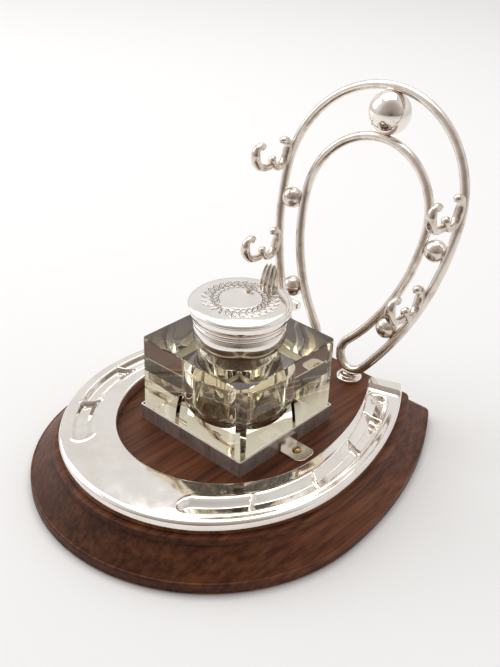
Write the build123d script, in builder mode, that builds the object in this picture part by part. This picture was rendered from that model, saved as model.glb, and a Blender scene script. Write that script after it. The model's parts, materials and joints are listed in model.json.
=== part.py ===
from build123d import *
from math import asin, atan2, cos, degrees, radians, sin, sqrt
import os

os.makedirs("parts", exist_ok=True)

# A horseshoe desk inkstand: wooden plinth, silver horseshoe, cut glass well with a hinged lid, and a
# leaning double-wire pen rack. Millimetres, +Z up, the toe of the horseshoe towards -Y.

# Plinth and felt
plinth_height = 18.0
felt_thickness = 0.8
felt_inset = 3.0
foot_band = 5.2
foot_step = 0.8
bead_height = 2.6
bead_step = 0.9
corner_radius = 4.0

# Horseshoe outlines, each: toe, widest level, half width there, toe radius, side radius, heel level
plinth_foot_line = (-96.0, -16.0, 79.0, 78.0, 190.0, 86.0)
plinth_top_line = (-86.0, -11.0, 70.2, 66.0, 150.0, 73.0)
shoe_outer_line = (-83.0, -10.4, 67.6, 64.0, 138.0, 67.5)
shoe_inner_line = (-56.5, -5.3, 47.8, 45.0, 125.0, 61.0)

# Horseshoe
shoe_thickness = 6.0
shoe_edge_round = 1.2
groove_margin = 6.2
groove_width = 9.5
groove_depth = 2.2
bar_width = 2.4
bar_overhang = 0.5
bar_rise = 0.4
bar_fractions = (0.34, 0.515, 0.683, 0.826)
groove_ends = (0.174, 0.926)
groove_corner = 1.6
groove_slope = 0.9
calkin_height = 2.2
calkin_length = 7.5

# Tray, lugs and screws
tray_width = 61.0
tray_wall = 0.7
tray_corner = 0.9
tray_ledge = 4.0
tray_floor = 0.8
tray_height = 7.6
lug_reach = 12.0
lug_width = 11.0
lug_leaf = 6.0
lug_thickness = 0.9
lug_round = 3.4
screw_offset = 5.4
screw_radius = 1.1
screw_length = 9.0
screw_head_radius = 2.15
screw_head_height = 1.4
screw_slot = 0.5

# Glass well
glass_width = 59.2
glass_top = plinth_height + 42.1
glass_front_cut = 3.2
glass_side_cut = 1.2
glass_bevel = 0.4
neck_radius = 15.6
neck_height = 11.5
mouth_radius = 12.4
cavity_radius = 16.4
cavity_floor = 6.8
cavity_roof = 5.5
cavity_shoulder = 5.0
cavity_round = 9.0
cavity_shoulder_round = 4.0
throat_round = 2.0

# Collar, lid and hinge, heights above the glass
collar_top = 12.75
collar_bore = 16.6
collar_radius = 18.2
collar_foot = 19.0
collar_belly = (20.3, 3.9)
collar_waist = (19.45, 8.3)
collar_mouth = 13.6
ring_radii = (19.05, 19.35)
ring_heights = (9.4, 11.6)
ring_size = 1.15
lid_bottom = 12.95
lid_bore = 19.4
lid_skirt_radius = 21.25
lid_skirt_bulge = 0.25
lid_skirt_top = 16.35
lid_radius = 22.55
lid_rim_height = 17.6
lid_dome_radius = 19.4
lid_dome_height = 18.8
lid_top = 19.8
lid_wall = 1.2
lining_seat = 14.2
lining_radius = 19.3
lining_thickness = 0.8
hinge_y = 25.6
hinge_height = 10.3
knuckle_radius = 1.9
knuckle_leaf = 2.6
pin_radius = 0.75
pin_head_radius = 1.3
pin_head_length = 0.5
hinge_half = 11.0
lid_knuckle_half = 4.1
knuckle_gap = 0.2
running_clearance = 0.05

# Thumb piece
thumb_y = 17.9
thumb_lean = 14.0
thumb_width = 11.4
thumb_shoulder = (8.8, 8.0)
thumb_height = 11.6
thumb_thickness = 3.2
thumb_flute_spacing = 2.7
thumb_flute_radius = 1.15

# Pen rack, heights measured up its leaning plane
wire_radius = 2.2
solder_film = 0.04
rack_y = 62.2
rack_lean = 15.86
outer_arch_radius = 49.4
outer_arch_height = 88.6
inner_arch_radius = 34.8
inner_arch_height = 79.7
heel_centre = (15.6, 12.8)
heel_radius = 7.8
crown_height = 126.2
crown_radius = 10.1
pearl_radius = 5.2
pearls = {"lower": (28.8, 32.0), "upper": (41.9, 74.0)}

# Pen hooks: their heights on the outer wire, and their bar
hook_heights = {"lower": 47.5, "upper": 91.5}
hook_bar_radius = 1.8
hook_curl_radius = 1.6
hook_tip_radius = 2.1
hook_arm_height = 6.0
hook_arm_inset = 0.2
hook_root_bend = (4.2, 90)
hook_sole_end = 15.4
hook_toe_bends = ((19.0, 33), (3.0, 150), (2.4, 60))
hook_rear_curl = (2.4, -130)
hook_middle_start = (4.0, -3.7)
hook_middle_curl = (3.4, 62)

# Rack feet and fixings
rack_foot_radii = (6.2, 5.0)
rack_foot_steps = (1.5, 1.2)
stud_radius = 1.5
stud_clearance = 0.2
nut_width = 5.5
nut_height = 2.4
washer_radius = 3.5
washer_height = 0.6
counterbore_radius = 4.6
counterbore_depth = 7.0

# The origin is on the table under the middle of the whole stand
crown_back = rack_y + crown_height * sin(radians(rack_lean)) + crown_radius
well_y = -(plinth_foot_line[0] + crown_back) / 2
well = Plane((0, well_y, 0))
lean = radians(rack_lean)
rack = Plane(
    origin=(0, well_y + rack_y, plinth_height),
    x_dir=(1, 0, 0),
    z_dir=(0, -cos(lean), sin(lean)),
)


def horseshoe_side(toe, wide, half, toe_radius, side_radius, heel):
    """Draw the right side of a horseshoe outline as tangent arcs, and return its heel point."""
    depth = wide - toe
    shoulder_radius = (half**2 + depth**2 - 2 * depth * toe_radius) / (2 * (half - toe_radius))
    toe_turn = degrees(atan2(shoulder_radius - half, depth - toe_radius))
    toe_arc = JernArc((0, toe), (1, 0), toe_radius, toe_turn)
    shoulder = JernArc(toe_arc @ 1, toe_arc % 1, shoulder_radius, 90 - toe_turn)
    side_turn = degrees(asin((heel - wide) / side_radius))
    side = JernArc(shoulder @ 1, (0, 1), side_radius, side_turn)
    return side @ 1


def plinth_outline(line):
    """A closed outline with a straight back and rounded back corners."""
    with BuildSketch(Plane.XY) as outline:
        with BuildLine():
            corner = horseshoe_side(*line)
            mirror(about=Plane.YZ)
            Line(corner, (-corner.X, corner.Y))
        make_face()
        fillet(outline.vertices().group_by(Axis.Y)[-1], corner_radius)
    return outline.sketch


def shoe_outline():
    """The open horseshoe between its outer and inner lines, with heels cut square to the branches."""
    with BuildSketch(Plane.XY) as outline:
        with BuildLine():
            outer_heel = horseshoe_side(*shoe_outer_line)
            inner_heel = horseshoe_side(*shoe_inner_line)
            Line(outer_heel, inner_heel)
            mirror(about=Plane.YZ)
        make_face()
    return outline.sketch


def side_radius(arch_radius, arch_height, reach):
    """Radius of the side arc that runs on from an arch at its widest and touches the heel bend."""
    across = heel_centre[0] - arch_radius
    drop = arch_height - heel_centre[1]
    return (reach**2 - across**2 - drop**2) / (2 * (across + reach))


def side_turn(centre):
    """How far a side arc turns before it meets the heel bend, in degrees."""
    return degrees(atan2(centre[1] - heel_centre[1], heel_centre[0] - centre[0]))


def rack_point(across, height, forward=0.0):
    """A point of the leaning rack in the part's own frame."""
    return rack.from_local_coords(Vector(across, height, forward))


# Sides of the rack: the outer one runs round the outside of the heel bend, the inner one meets its far end
outer_side_radius = side_radius(outer_arch_radius, outer_arch_height, heel_radius)
inner_side_radius = side_radius(inner_arch_radius, inner_arch_height, -heel_radius)
outer_side_centre = (outer_arch_radius - outer_side_radius, outer_arch_height)
inner_side_centre = (inner_arch_radius - inner_side_radius, inner_arch_height)
outer_side_turn = side_turn(outer_side_centre)
inner_side_turn = side_turn(inner_side_centre)
foot_x = heel_centre[0]
foot_y = rack_y + (heel_centre[1] - heel_radius) * sin(lean)
stud_top = plinth_height + (heel_centre[1] - heel_radius) * cos(lean)
stud_places = [(-foot_x, foot_y), (foot_x, foot_y)]
shoe_stud_places = [(0, -72.0), (-55.0, 28.0), (55.0, 28.0)]
fixing_places = stud_places + shoe_stud_places
screw_x = tray_width / 2 + screw_offset


# Felt
with BuildPart() as base_felt:
    with BuildSketch(well):
        add(plinth_outline(plinth_foot_line))
        offset(amount=-felt_inset, kind=Kind.INTERSECTION)
    extrude(amount=felt_thickness)
base_felt.part.label = "base_felt"

# Plinth: an upright band at the foot, a sloping side, and a bead round the top
slope_top = plinth_height - bead_height
with BuildPart() as wood_plinth:
    with BuildSketch(well.offset(felt_thickness)):
        add(plinth_outline(plinth_foot_line))
    extrude(amount=foot_band - felt_thickness)
    band_edges = wood_plinth.edges().group_by(Axis.Z)[-1]
    fillet(band_edges, foot_step)
    with BuildSketch(well.offset(foot_band - 0.01)):
        add(plinth_outline(plinth_foot_line))
        offset(amount=-foot_step - 0.2, kind=Kind.INTERSECTION)
    with BuildSketch(well.offset(slope_top)):
        add(plinth_outline(plinth_top_line))
        offset(amount=-bead_step, kind=Kind.INTERSECTION)
    loft(ruled=True)
    with BuildSketch(well.offset(slope_top)):
        add(plinth_outline(plinth_top_line))
    extrude(amount=bead_height)
    bead_edges = wood_plinth.edges().group_by(Axis.Z)[-1]
    fillet(bead_edges, bead_height * 0.45)
    bores = [well.from_local_coords(Vector(x, y, felt_thickness)) for x, y in fixing_places]
    with Locations(*[Location(bore, (180, 0, 0)) for bore in bores]):
        CounterBoreHole(stud_radius + stud_clearance, counterbore_radius, counterbore_depth, plinth_height)
    with Locations(*[well.from_local_coords(Vector(x, 0, plinth_height)) for x in (-screw_x, screw_x)]):
        Hole(screw_radius, screw_length)
wood_plinth.part.label = "wood_plinth"

# Horseshoe: a flat shoe with a nail groove in each branch and a calkin at each heel
shoe_top = plinth_height + shoe_thickness
with BuildLine() as shoe_side:
    horseshoe_side(*shoe_outer_line)
shoe_edge = shoe_side.wires()[0]


def branch_point(fraction, inset):
    """A point on the right branch: a fraction of the way from toe to heel, and inwards from the edge."""
    heading = shoe_edge % fraction
    return shoe_edge @ fraction + Vector(-heading.Y, heading.X) * inset


def groove_cell(start, end, shrink, side):
    """One curved slot of the nail groove between two fractions of a branch, drawn in by shrink."""
    drawn_in = shrink / shoe_edge.length
    stations = (start + drawn_in, (start + end) / 2, end - drawn_in)
    with BuildSketch(Plane.XY) as cell:
        with BuildLine():
            far = groove_margin + groove_width - shrink
            outside = [branch_point(fraction, groove_margin + shrink) for fraction in stations]
            inside = [branch_point(fraction, far) for fraction in stations]
            ThreePointArc(*outside)
            ThreePointArc(*inside)
            Line(outside[0], inside[0])
            Line(outside[-1], inside[-1])
            if side < 0:
                mirror(about=Plane.YZ, mode=Mode.REPLACE)
        make_face()
        fillet(cell.vertices(), groove_corner - shrink / 2)
    return cell.sketch


def bar_marks():
    """The bars between the cells, a little longer than the groove is wide."""
    with BuildSketch(Plane.XY) as marks:
        for fraction in bar_fractions:
            heading = shoe_edge % fraction
            middle = branch_point(fraction, groove_margin + groove_width / 2)
            turn = degrees(atan2(heading.Y, heading.X))
            with Locations(Location(middle, (0, 0, turn))):
                SlotOverall(groove_width + 2 * bar_overhang, bar_width, rotation=90)
        mirror(about=Plane.YZ)
    return marks.sketch


def heel_blocks():
    """The last stretch of each branch, cut square to it."""
    heel = shoe_edge @ 1
    heading = shoe_edge % 1
    turn = degrees(atan2(heading.Y, heading.X))
    with BuildSketch(Plane.XY) as ends:
        with Locations(Location(heel, (0, 0, turn))):
            Rectangle(2 * calkin_length, 60)
        mirror(about=Plane.YZ)
        add(shoe_outline(), mode=Mode.INTERSECT)
        fillet(ends.vertices(), 1.5)
    return ends.sketch


with BuildPart() as horseshoe_plate:
    with BuildSketch(well.offset(plinth_height)):
        add(shoe_outline())
    extrude(amount=shoe_thickness)
    rim_edges = horseshoe_plate.edges().group_by(Axis.Z)[-1]
    fillet(rim_edges, shoe_edge_round)
    half_bar = bar_width / 2 / shoe_edge.length
    starts = [groove_ends[0]] + [fraction + half_bar for fraction in bar_fractions]
    ends = [fraction - half_bar for fraction in bar_fractions] + [groove_ends[1]]
    for start, end in zip(starts, ends):
        for side in (-1, 1):
            with BuildSketch(well.offset(shoe_top)):
                add(groove_cell(start, end, 0, side))
            with BuildSketch(well.offset(shoe_top - groove_depth)):
                add(groove_cell(start, end, groove_slope, side))
            loft(ruled=True, mode=Mode.SUBTRACT)
    with BuildSketch(well.offset(shoe_top - groove_depth)):
        add(bar_marks())
    extrude(amount=groove_depth + bar_rise)
    bar_edges = horseshoe_plate.edges().group_by(Axis.Z)[-1]
    fillet(bar_edges, bar_rise * 0.9)
    with BuildSketch(well.offset(shoe_top - shoe_edge_round - 0.5)):
        add(heel_blocks())
    extrude(amount=shoe_edge_round + 0.5 + calkin_height)
    calkin_edges = horseshoe_plate.edges().group_by(Axis.Z)[-1]
    fillet(calkin_edges, 1.0)
horseshoe_plate.part.label = "horseshoe_plate"

# Fixings that hold the shoe and the rack from below
nut_top = felt_thickness + counterbore_depth - washer_height
stud_bottom = nut_top - nut_height - 1.0


def studs(places, top):
    """Threaded studs, one at each place."""
    with BuildPart() as group:
        with BuildSketch(well.offset(stud_bottom)):
            with Locations(*places):
                Circle(stud_radius)
        extrude(amount=top - stud_bottom)
    return group.part


def washers(places):
    """Flat washers against the tops of the counterbores."""
    with BuildPart() as group:
        with BuildSketch(well.offset(nut_top)):
            with Locations(*places):
                Circle(washer_radius)
                Circle(stud_radius + running_clearance, mode=Mode.SUBTRACT)
        extrude(amount=washer_height)
    return group.part


def nuts(places):
    """Hexagon nuts under the washers."""
    with BuildPart() as group:
        with BuildSketch(well.offset(nut_top - nut_height)):
            with Locations(*places):
                RegularPolygon(nut_width / 2, 6, major_radius=False)
                Circle(stud_radius + running_clearance, mode=Mode.SUBTRACT)
        extrude(amount=nut_height)
    return group.part


horseshoe_studs = studs(shoe_stud_places, plinth_height)
horseshoe_studs.label = "horseshoe_studs"
horseshoe_washers = washers(shoe_stud_places)
horseshoe_washers.label = "horseshoe_washers"
horseshoe_nuts = nuts(shoe_stud_places)
horseshoe_nuts.label = "horseshoe_nuts"

# Tray: four walls with a narrow ledge inside that the glass stands on
with BuildPart() as well_tray:
    with BuildSketch(well.offset(plinth_height)):
        RectangleRounded(tray_width, tray_width, tray_corner)
    extrude(amount=tray_height)
    with BuildSketch(well.offset(plinth_height + tray_floor)):
        RectangleRounded(tray_width - 2 * tray_wall, tray_width - 2 * tray_wall, tray_corner - tray_wall)
    extrude(amount=tray_height, mode=Mode.SUBTRACT)
    with BuildSketch(well.offset(plinth_height)):
        window = tray_width - 2 * (tray_wall + tray_ledge)
        Rectangle(window, window)
    extrude(amount=tray_floor, mode=Mode.SUBTRACT)
    rim_edges = well_tray.edges().group_by(Axis.Z)[-1]
    fillet(rim_edges, tray_wall * 0.4)
well_tray.part.label = "well_tray"


def left_and_right(right_piece, name):
    """A right-hand piece and its mirror image, labelled with their sides."""
    with BuildPart() as left_piece:
        mirror(right_piece, about=Plane.YZ)
    left_piece.part.label = f"{name}_left"
    right_piece.label = f"{name}_right"
    return [left_piece.part, right_piece]


def tray_lug():
    """The right-hand lug: a leaf soldered to the tray wall, bent out into a foot with a rounded end."""
    wall = tray_width / 2
    with BuildPart() as lug:
        with BuildSketch(well.offset(plinth_height)) as foot:
            with Locations((wall + lug_reach / 2, 0)):
                Rectangle(lug_reach, lug_width)
            fillet(foot.vertices().group_by(Axis.X)[-1], lug_round)
            with Locations((screw_x, 0)):
                Circle(screw_radius + 0.3, mode=Mode.SUBTRACT)
        extrude(amount=lug_thickness)
        with BuildSketch(well.offset(plinth_height)):
            with Locations((wall + lug_thickness / 2, 0)):
                Rectangle(lug_thickness, lug_width)
        extrude(amount=lug_leaf)
        leaf_ends = lug.edges().group_by(Axis.Z)[-1].filter_by(Axis.X)
        fillet(leaf_ends, 2.0)
        foot_top = lug.faces().filter_by(Axis.Z).group_by(Axis.Z)[-2]
        foot_edges = foot_top.edges().filter_by(GeomType.CIRCLE)
        fillet(foot_edges.group_by(SortBy.RADIUS)[-1], 0.3)
    return lug.part


tray_lugs = left_and_right(tray_lug(), "tray_lug")

# Round-head screws through the lugs
head_seat = plinth_height + lug_thickness
with BuildPart() as tray_screws:
    head_profile_plane = Plane(origin=(0, well_y, head_seat), x_dir=(1, 0, 0), z_dir=(0, -1, 0))
    for side in (-1, 1):
        axis = Axis((side * screw_x, well_y, 0), (0, 0, 1))
        with BuildSketch(head_profile_plane):
            with BuildLine():
                edge = (side * (screw_x + screw_head_radius), 0)
                shank = (side * (screw_x + screw_radius), 0)
                tip = (side * screw_x, -screw_length + lug_thickness + 0.5)
                crown = (side * screw_x, screw_head_height)
                ThreePointArc(
                    edge,
                    (side * (screw_x + 0.72 * screw_head_radius), 0.75 * screw_head_height),
                    crown,
                )
                Polyline(crown, tip, (shank[0], tip[1] + 2.0), shank, edge)
            make_face()
        revolve(axis=axis)
    with Locations(*[(side * screw_x, well_y, head_seat + screw_head_height) for side in (-1, 1)]):
        Box(screw_slot, 2.2 * screw_head_radius, 1.2, mode=Mode.SUBTRACT)
tray_screws.part.label = "tray_screws"

# Glass well: a square block with cut corners, a round neck and a pot-shaped ink cavity
well_section = Plane(origin=(0, well_y, glass_top), x_dir=(1, 0, 0), z_dir=(0, -1, 0))
well_axis = Axis((0, well_y, 0), (0, 0, 1))
glass_bottom = plinth_height + tray_floor
with BuildPart() as glass_well:
    with BuildSketch(well.offset(glass_bottom)):
        half = glass_width / 2
        front_cut = half - glass_front_cut
        side_cut = half - glass_side_cut
        block_corners = [
            (half, -front_cut),
            (half, side_cut),
            (side_cut, half),
            (-front_cut, half),
            (-half, front_cut),
            (-half, -side_cut),
            (-side_cut, -half),
            (front_cut, -half),
        ]
        with BuildLine():
            Polyline(*block_corners, close=True)
        make_face()
    extrude(amount=glass_top - glass_bottom)
    top_edges = glass_well.edges().group_by(Axis.Z)[-1]
    chamfer(top_edges, glass_bevel)
    bottom_edges = glass_well.edges().group_by(Axis.Z)[0]
    chamfer(bottom_edges, glass_bevel)
    with BuildSketch(well.offset(glass_top)):
        Circle(neck_radius)
    extrude(amount=neck_height)
    with BuildSketch(well_section) as cavity:
        with BuildLine():
            floor_level = glass_bottom + cavity_floor - glass_top
            shoulder_level = -cavity_roof - cavity_shoulder
            Polyline(
                (cavity_radius, shoulder_level),
                (cavity_radius, floor_level),
                (0, floor_level),
                (0, neck_height + 1),
                (mouth_radius, neck_height + 1),
                (mouth_radius, -cavity_roof),
            )
            Line((mouth_radius, -cavity_roof), (cavity_radius, shoulder_level))
        make_face()
        pot_corners = cavity.vertices().group_by(Axis.X)[-1]
        fillet(pot_corners.sort_by(Axis.Y)[0], cavity_round)
        fillet(cavity.vertices().group_by(Axis.X)[-1].sort_by(Axis.Y)[-1], cavity_shoulder_round)
        throat = cavity.vertices().sort_by_distance((mouth_radius, -cavity_roof))[0]
        fillet(throat, throat_round)
    revolve(axis=well_axis, mode=Mode.SUBTRACT)
glass_well.part.label = "glass_well"

# Plaster between the glass neck and its collar
with BuildPart() as collar_cement:
    with BuildSketch(well.offset(glass_top)):
        Circle(collar_bore)
        Circle(neck_radius, mode=Mode.SUBTRACT)
    extrude(amount=neck_height)
collar_cement.part.label = "collar_cement"

# Collar: a tube with a rounded belly, two half-round rings and a lip over the neck
with BuildPart() as neck_collar:
    with BuildSketch(well_section):
        with BuildLine():
            ThreePointArc((collar_foot, 0), collar_belly, collar_waist)
            Polyline(
                collar_waist,
                (collar_radius, collar_waist[1]),
                (collar_radius, collar_top),
                (collar_mouth, collar_top),
                (collar_mouth, neck_height),
                (collar_bore, neck_height),
                (collar_bore, 0),
                (collar_foot, 0),
            )
        make_face()
        for ring_radius, ring_height in zip(ring_radii, ring_heights):
            with Locations((ring_radius, ring_height)):
                Circle(ring_size)
            with Locations(((ring_radius + collar_radius) / 2 - 0.3, ring_height)):
                Rectangle(ring_radius - collar_radius + 0.8, 2 * ring_size)
    revolve(axis=well_axis)
neck_collar.part.label = "neck_collar"

# Hinge: outer knuckles on the collar, the middle one on the lid
hinge_z = glass_top + hinge_height
hinge_bore = pin_radius + running_clearance


def knuckle_profile(leaf_points):
    """A knuckle round the pin with its leaf, drawn looking along the hinge."""
    with BuildSketch(Plane.XY) as profile:
        with BuildLine():
            Polyline(*leaf_points, close=True)
        make_face()
        with Locations((hinge_y, hinge_height)):
            Circle(knuckle_radius)
            Circle(hinge_bore, mode=Mode.SUBTRACT)
    return profile.sketch


def across_hinge(offset_x):
    """The plane across the hinge at one place along it: Y is level and Z is up."""
    return Plane(origin=(offset_x, well_y, glass_top), x_dir=(0, 1, 0), z_dir=(1, 0, 0))


collar_leaf = [
    (15.0, hinge_height - knuckle_leaf / 2),
    (hinge_y, hinge_height - knuckle_leaf / 2),
    (hinge_y, hinge_height + knuckle_leaf / 2),
    (15.0, hinge_height + knuckle_leaf / 2),
]
knuckle_start = lid_knuckle_half + knuckle_gap
with BuildPart() as collar_knuckles:
    for start in (-hinge_half, knuckle_start):
        with BuildSketch(across_hinge(start)):
            add(knuckle_profile(collar_leaf))
        extrude(amount=hinge_half - knuckle_start)
    with BuildSketch(well.offset(glass_top)):
        Circle(collar_radius - 0.5)
    extrude(amount=2 * hinge_height, mode=Mode.SUBTRACT)
    add(neck_collar.part, mode=Mode.SUBTRACT)
collar_knuckles.part.label = "collar_knuckles"


def cap_arc(apex, reach, drop):
    """Half of a shallow dome, level where it crosses the axis and lower by drop at its edge."""
    radius = (reach**2 + drop**2) / (2 * drop)
    return JernArc((0, apex), (1, 0), radius, -degrees(asin(reach / radius)))


# Lid: a hollow dome with a rounded rim above a bulging skirt
with BuildPart() as lid:
    with BuildSketch(well_section):
        with BuildLine():
            rim_bottom = (lid_radius - 0.15, lid_rim_height - 0.9)
            skirt_top = (lid_skirt_radius, lid_skirt_top)
            Line((lid_bore, lid_bottom), (lid_skirt_radius, lid_bottom))
            ThreePointArc(
                (lid_skirt_radius, lid_bottom),
                (lid_skirt_radius + lid_skirt_bulge, (lid_bottom + lid_skirt_top) / 2),
                skirt_top,
            )
            Line(skirt_top, rim_bottom)
            rim_top = (lid_radius - 0.5, lid_rim_height + 0.4)
            dome_edge = (lid_dome_radius, lid_dome_height)
            ThreePointArc(rim_bottom, (lid_radius, lid_rim_height - 0.3), rim_top)
            ThreePointArc(rim_top, (lid_dome_radius + 1.5, lid_dome_height - 0.22), dome_edge)
            outer_cap = cap_arc(lid_top, lid_dome_radius, lid_top - lid_dome_height)
            inner_cap = cap_arc(lid_top - lid_wall, lid_bore - 0.9, lid_top - lid_dome_height)
            Line(outer_cap @ 0, inner_cap @ 0)
            Polyline(
                (lid_bore - 0.9, lid_dome_height - lid_wall),
                (lid_bore - 0.9, lining_seat + lining_thickness),
                (lid_bore, lining_seat + lining_thickness),
                (lid_bore, lid_bottom),
            )
        make_face()
    revolve(axis=well_axis)
lid.part.label = "lid"

with BuildPart() as lid_lining:
    with BuildSketch(well.offset(glass_top + lining_seat)):
        Circle(lining_radius)
    extrude(amount=lining_thickness)
lid_lining.part.label = "lid_lining"

lid_leaf = [
    (hinge_y - knuckle_radius, hinge_height),
    (hinge_y + knuckle_radius, hinge_height),
    (hinge_y + 0.6, 14.6),
    (hinge_y - 1.4, 16.2),
    (lid_bore + 0.3, 16.2),
    (lid_bore + 0.3, 13.4),
    (hinge_y - knuckle_radius, 13.0),
]
with BuildPart() as lid_knuckle:
    with BuildSketch(across_hinge(-lid_knuckle_half)):
        add(knuckle_profile(lid_leaf))
    extrude(amount=2 * lid_knuckle_half)
    add(lid.part, mode=Mode.SUBTRACT)
lid_knuckle.part.label = "lid_knuckle"

with BuildPart() as hinge_pin:
    with BuildSketch(across_hinge(-hinge_half)):
        with Locations((hinge_y, hinge_height)):
            Circle(pin_radius)
    extrude(amount=2 * hinge_half)
    for start in (-hinge_half - pin_head_length, hinge_half):
        with BuildSketch(across_hinge(start)):
            with Locations((hinge_y, hinge_height)):
                Circle(pin_head_radius)
        extrude(amount=pin_head_length)
hinge_pin.part.label = "hinge_pin"

# Thumb piece: a fluted, leaning fan behind the dome
thumb_tilt = radians(thumb_lean)
thumb_plane = Plane(
    origin=(0, well_y + thumb_y, glass_top + lid_dome_height),
    x_dir=(1, 0, 0),
    z_dir=(0, -cos(thumb_tilt), sin(thumb_tilt)),
)
with BuildPart() as thumb_piece:
    with BuildSketch(thumb_plane):
        with BuildLine():
            right_foot = (thumb_width / 2, -2.0)
            right_shoulder = (thumb_shoulder[0] / 2, thumb_shoulder[1])
            left_shoulder = (-right_shoulder[0], right_shoulder[1])
            left_foot = (-right_foot[0], right_foot[1])
            Polyline(left_shoulder, left_foot, right_foot, right_shoulder)
            ThreePointArc(right_shoulder, (0, thumb_height), left_shoulder)
        make_face()
    extrude(amount=thumb_thickness / 2, both=True)
    flute_front = thumb_plane.offset(thumb_thickness / 2)
    for flute in (-1, 0, 1):
        foot_point = flute_front.from_local_coords(Vector(flute * thumb_flute_spacing * 1.12, 0.6, 0.1))
        tip_reach = Vector(flute * thumb_flute_spacing * 0.85, thumb_height + 1, -1.2)
        tip_point = flute_front.from_local_coords(tip_reach)
        with BuildSketch(Plane(origin=foot_point, z_dir=tip_point - foot_point)):
            Circle(thumb_flute_radius)
        extrude(amount=2 * thumb_height, mode=Mode.SUBTRACT)
    add(lid.part, mode=Mode.SUBTRACT)
    with BuildSketch(well.offset(glass_top + lid_dome_height - 3)):
        Circle(lid_radius)
    extrude(amount=2.5, mode=Mode.SUBTRACT)
thumb_piece.part.label = "thumb_piece"

def outer_bow(radius):
    """The outer bow of round wire, with the bend at each heel that comes back to the inner bow."""
    with BuildPart() as bow:
        with BuildLine(rack):
            CenterArc((0, outer_arch_height), outer_arch_radius, 0, 180)
            side_bow = CenterArc(outer_side_centre, outer_side_radius, 0, -outer_side_turn)
            heel_turn = 180 + inner_side_turn - outer_side_turn
            heel_bend = CenterArc(heel_centre, heel_radius, -outer_side_turn, -heel_turn)
            mirror([side_bow, heel_bend], about=Plane.YZ)
        with BuildSketch(Plane(origin=heel_bend @ 1, z_dir=heel_bend % 1)):
            Circle(radius)
        sweep()
    return bow.part


def inner_bow(radius):
    """The inner bow of round wire, which ends where the heel bends begin."""
    with BuildPart() as bow:
        with BuildLine(rack):
            CenterArc((0, inner_arch_height), inner_arch_radius, 0, 180)
            inner_side = CenterArc(inner_side_centre, inner_side_radius, 0, -inner_side_turn)
            mirror(inner_side, about=Plane.YZ)
        with BuildSketch(Plane(origin=inner_side @ 1, z_dir=inner_side % 1)):
            Circle(radius)
        sweep()
    return bow.part


# Pen rack: two bows in one leaning plane. The balls between them stand off by a film of solder
rack_outer_wire = outer_bow(wire_radius)
rack_outer_wire.label = "rack_outer_wire"
rack_inner_wire = inner_bow(wire_radius)
rack_inner_wire.label = "rack_inner_wire"
soldered_bows = [outer_bow(wire_radius + solder_film), inner_bow(wire_radius + solder_film)]


def seated_ball(across, height, radius):
    """A ball soldered between the two bows, cut where they hold it."""
    with BuildPart() as ball:
        with Locations(Location(rack_point(across, height), (0, 0, -90))):
            Sphere(radius)
        add(soldered_bows, mode=Mode.SUBTRACT)
    return ball.part


crown_ball = seated_ball(0, crown_height, crown_radius)
crown_ball.label = "crown_ball"

rack_balls = []
for level, (across, height) in pearls.items():
    rack_balls += left_and_right(seated_ball(across, height, pearl_radius), f"rack_ball_{level}")


def outer_wire_x(height):
    """How far out the outer bow stands at a height on the rack."""
    if height > outer_arch_height:
        return sqrt(outer_arch_radius**2 - (height - outer_arch_height) ** 2)
    rise = height - outer_arch_height
    return outer_side_centre[0] + sqrt(outer_side_radius**2 - rise**2)


def pen_hook(height):
    """A double scroll on the front of the outer bow: one rest behind, a larger one in front."""
    hook_plane = Plane(
        origin=rack_point(outer_wire_x(height), height),
        x_dir=rack.z_dir,
        z_dir=(-1, 0, 0),
    )
    arm = wire_radius + hook_bar_radius - hook_arm_inset
    with BuildPart() as hook:
        with BuildLine(hook_plane):
            rear_curl = JernArc((arm, hook_arm_height), (0, 1), *hook_rear_curl)
            Line((arm, hook_arm_height), (arm, 0))
            root_bend = JernArc((arm, 0), (0, -1), *hook_root_bend)
            front_bend = Line(root_bend @ 1, (hook_sole_end, -hook_root_bend[0]))
            for bend in hook_toe_bends:
                front_bend = JernArc(front_bend @ 1, front_bend % 1, *bend)
        with BuildSketch(Plane(origin=rear_curl @ 1, z_dir=rear_curl % 1)):
            Circle(hook_bar_radius)
        sweep()
        with BuildLine(hook_plane):
            middle_start = (arm + hook_middle_start[0], hook_middle_start[1])
            middle_curl = JernArc(middle_start, (1, 0.1), *hook_middle_curl)
        with BuildSketch(Plane(origin=middle_curl @ 0, z_dir=middle_curl % 0)):
            Circle(hook_curl_radius)
        sweep()
        with Locations(rear_curl @ 1, front_bend @ 1, middle_curl @ 1):
            Sphere(hook_tip_radius)
        add(rack_outer_wire, mode=Mode.SUBTRACT)
    return hook.part


pen_hooks = []
for level, height in hook_heights.items():
    pen_hooks += left_and_right(pen_hook(height), f"pen_hook_{level}")


def rack_foot():
    """The stepped round foot under the right heel bend, seated to the wire and bored for its stud."""
    with BuildPart() as foot:
        with BuildSketch(well.offset(plinth_height)):
            with Locations((foot_x, foot_y)):
                Circle(rack_foot_radii[0])
        extrude(amount=rack_foot_steps[0])
        fillet(foot.edges().group_by(Axis.Z)[-1], 0.5)
        with BuildSketch(well.offset(plinth_height + rack_foot_steps[0])):
            with Locations((foot_x, foot_y)):
                Circle(rack_foot_radii[1])
        extrude(amount=rack_foot_steps[1])
        fillet(foot.edges().group_by(Axis.Z)[-1], 0.5)
        with Locations(well.from_local_coords(Vector(foot_x, foot_y, plinth_height + 5))):
            Hole(stud_radius + running_clearance, 10)
        add(rack_outer_wire, mode=Mode.SUBTRACT)
    return foot.part


rack_feet = left_and_right(rack_foot(), "rack_foot")

with BuildPart() as rack_studs:
    add(studs(stud_places, stud_top))
    add(rack_outer_wire, mode=Mode.SUBTRACT)
rack_studs.part.label = "rack_studs"
rack_washers = washers(stud_places)
rack_washers.label = "rack_washers"
rack_nuts = nuts(stud_places)
rack_nuts.label = "rack_nuts"

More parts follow.
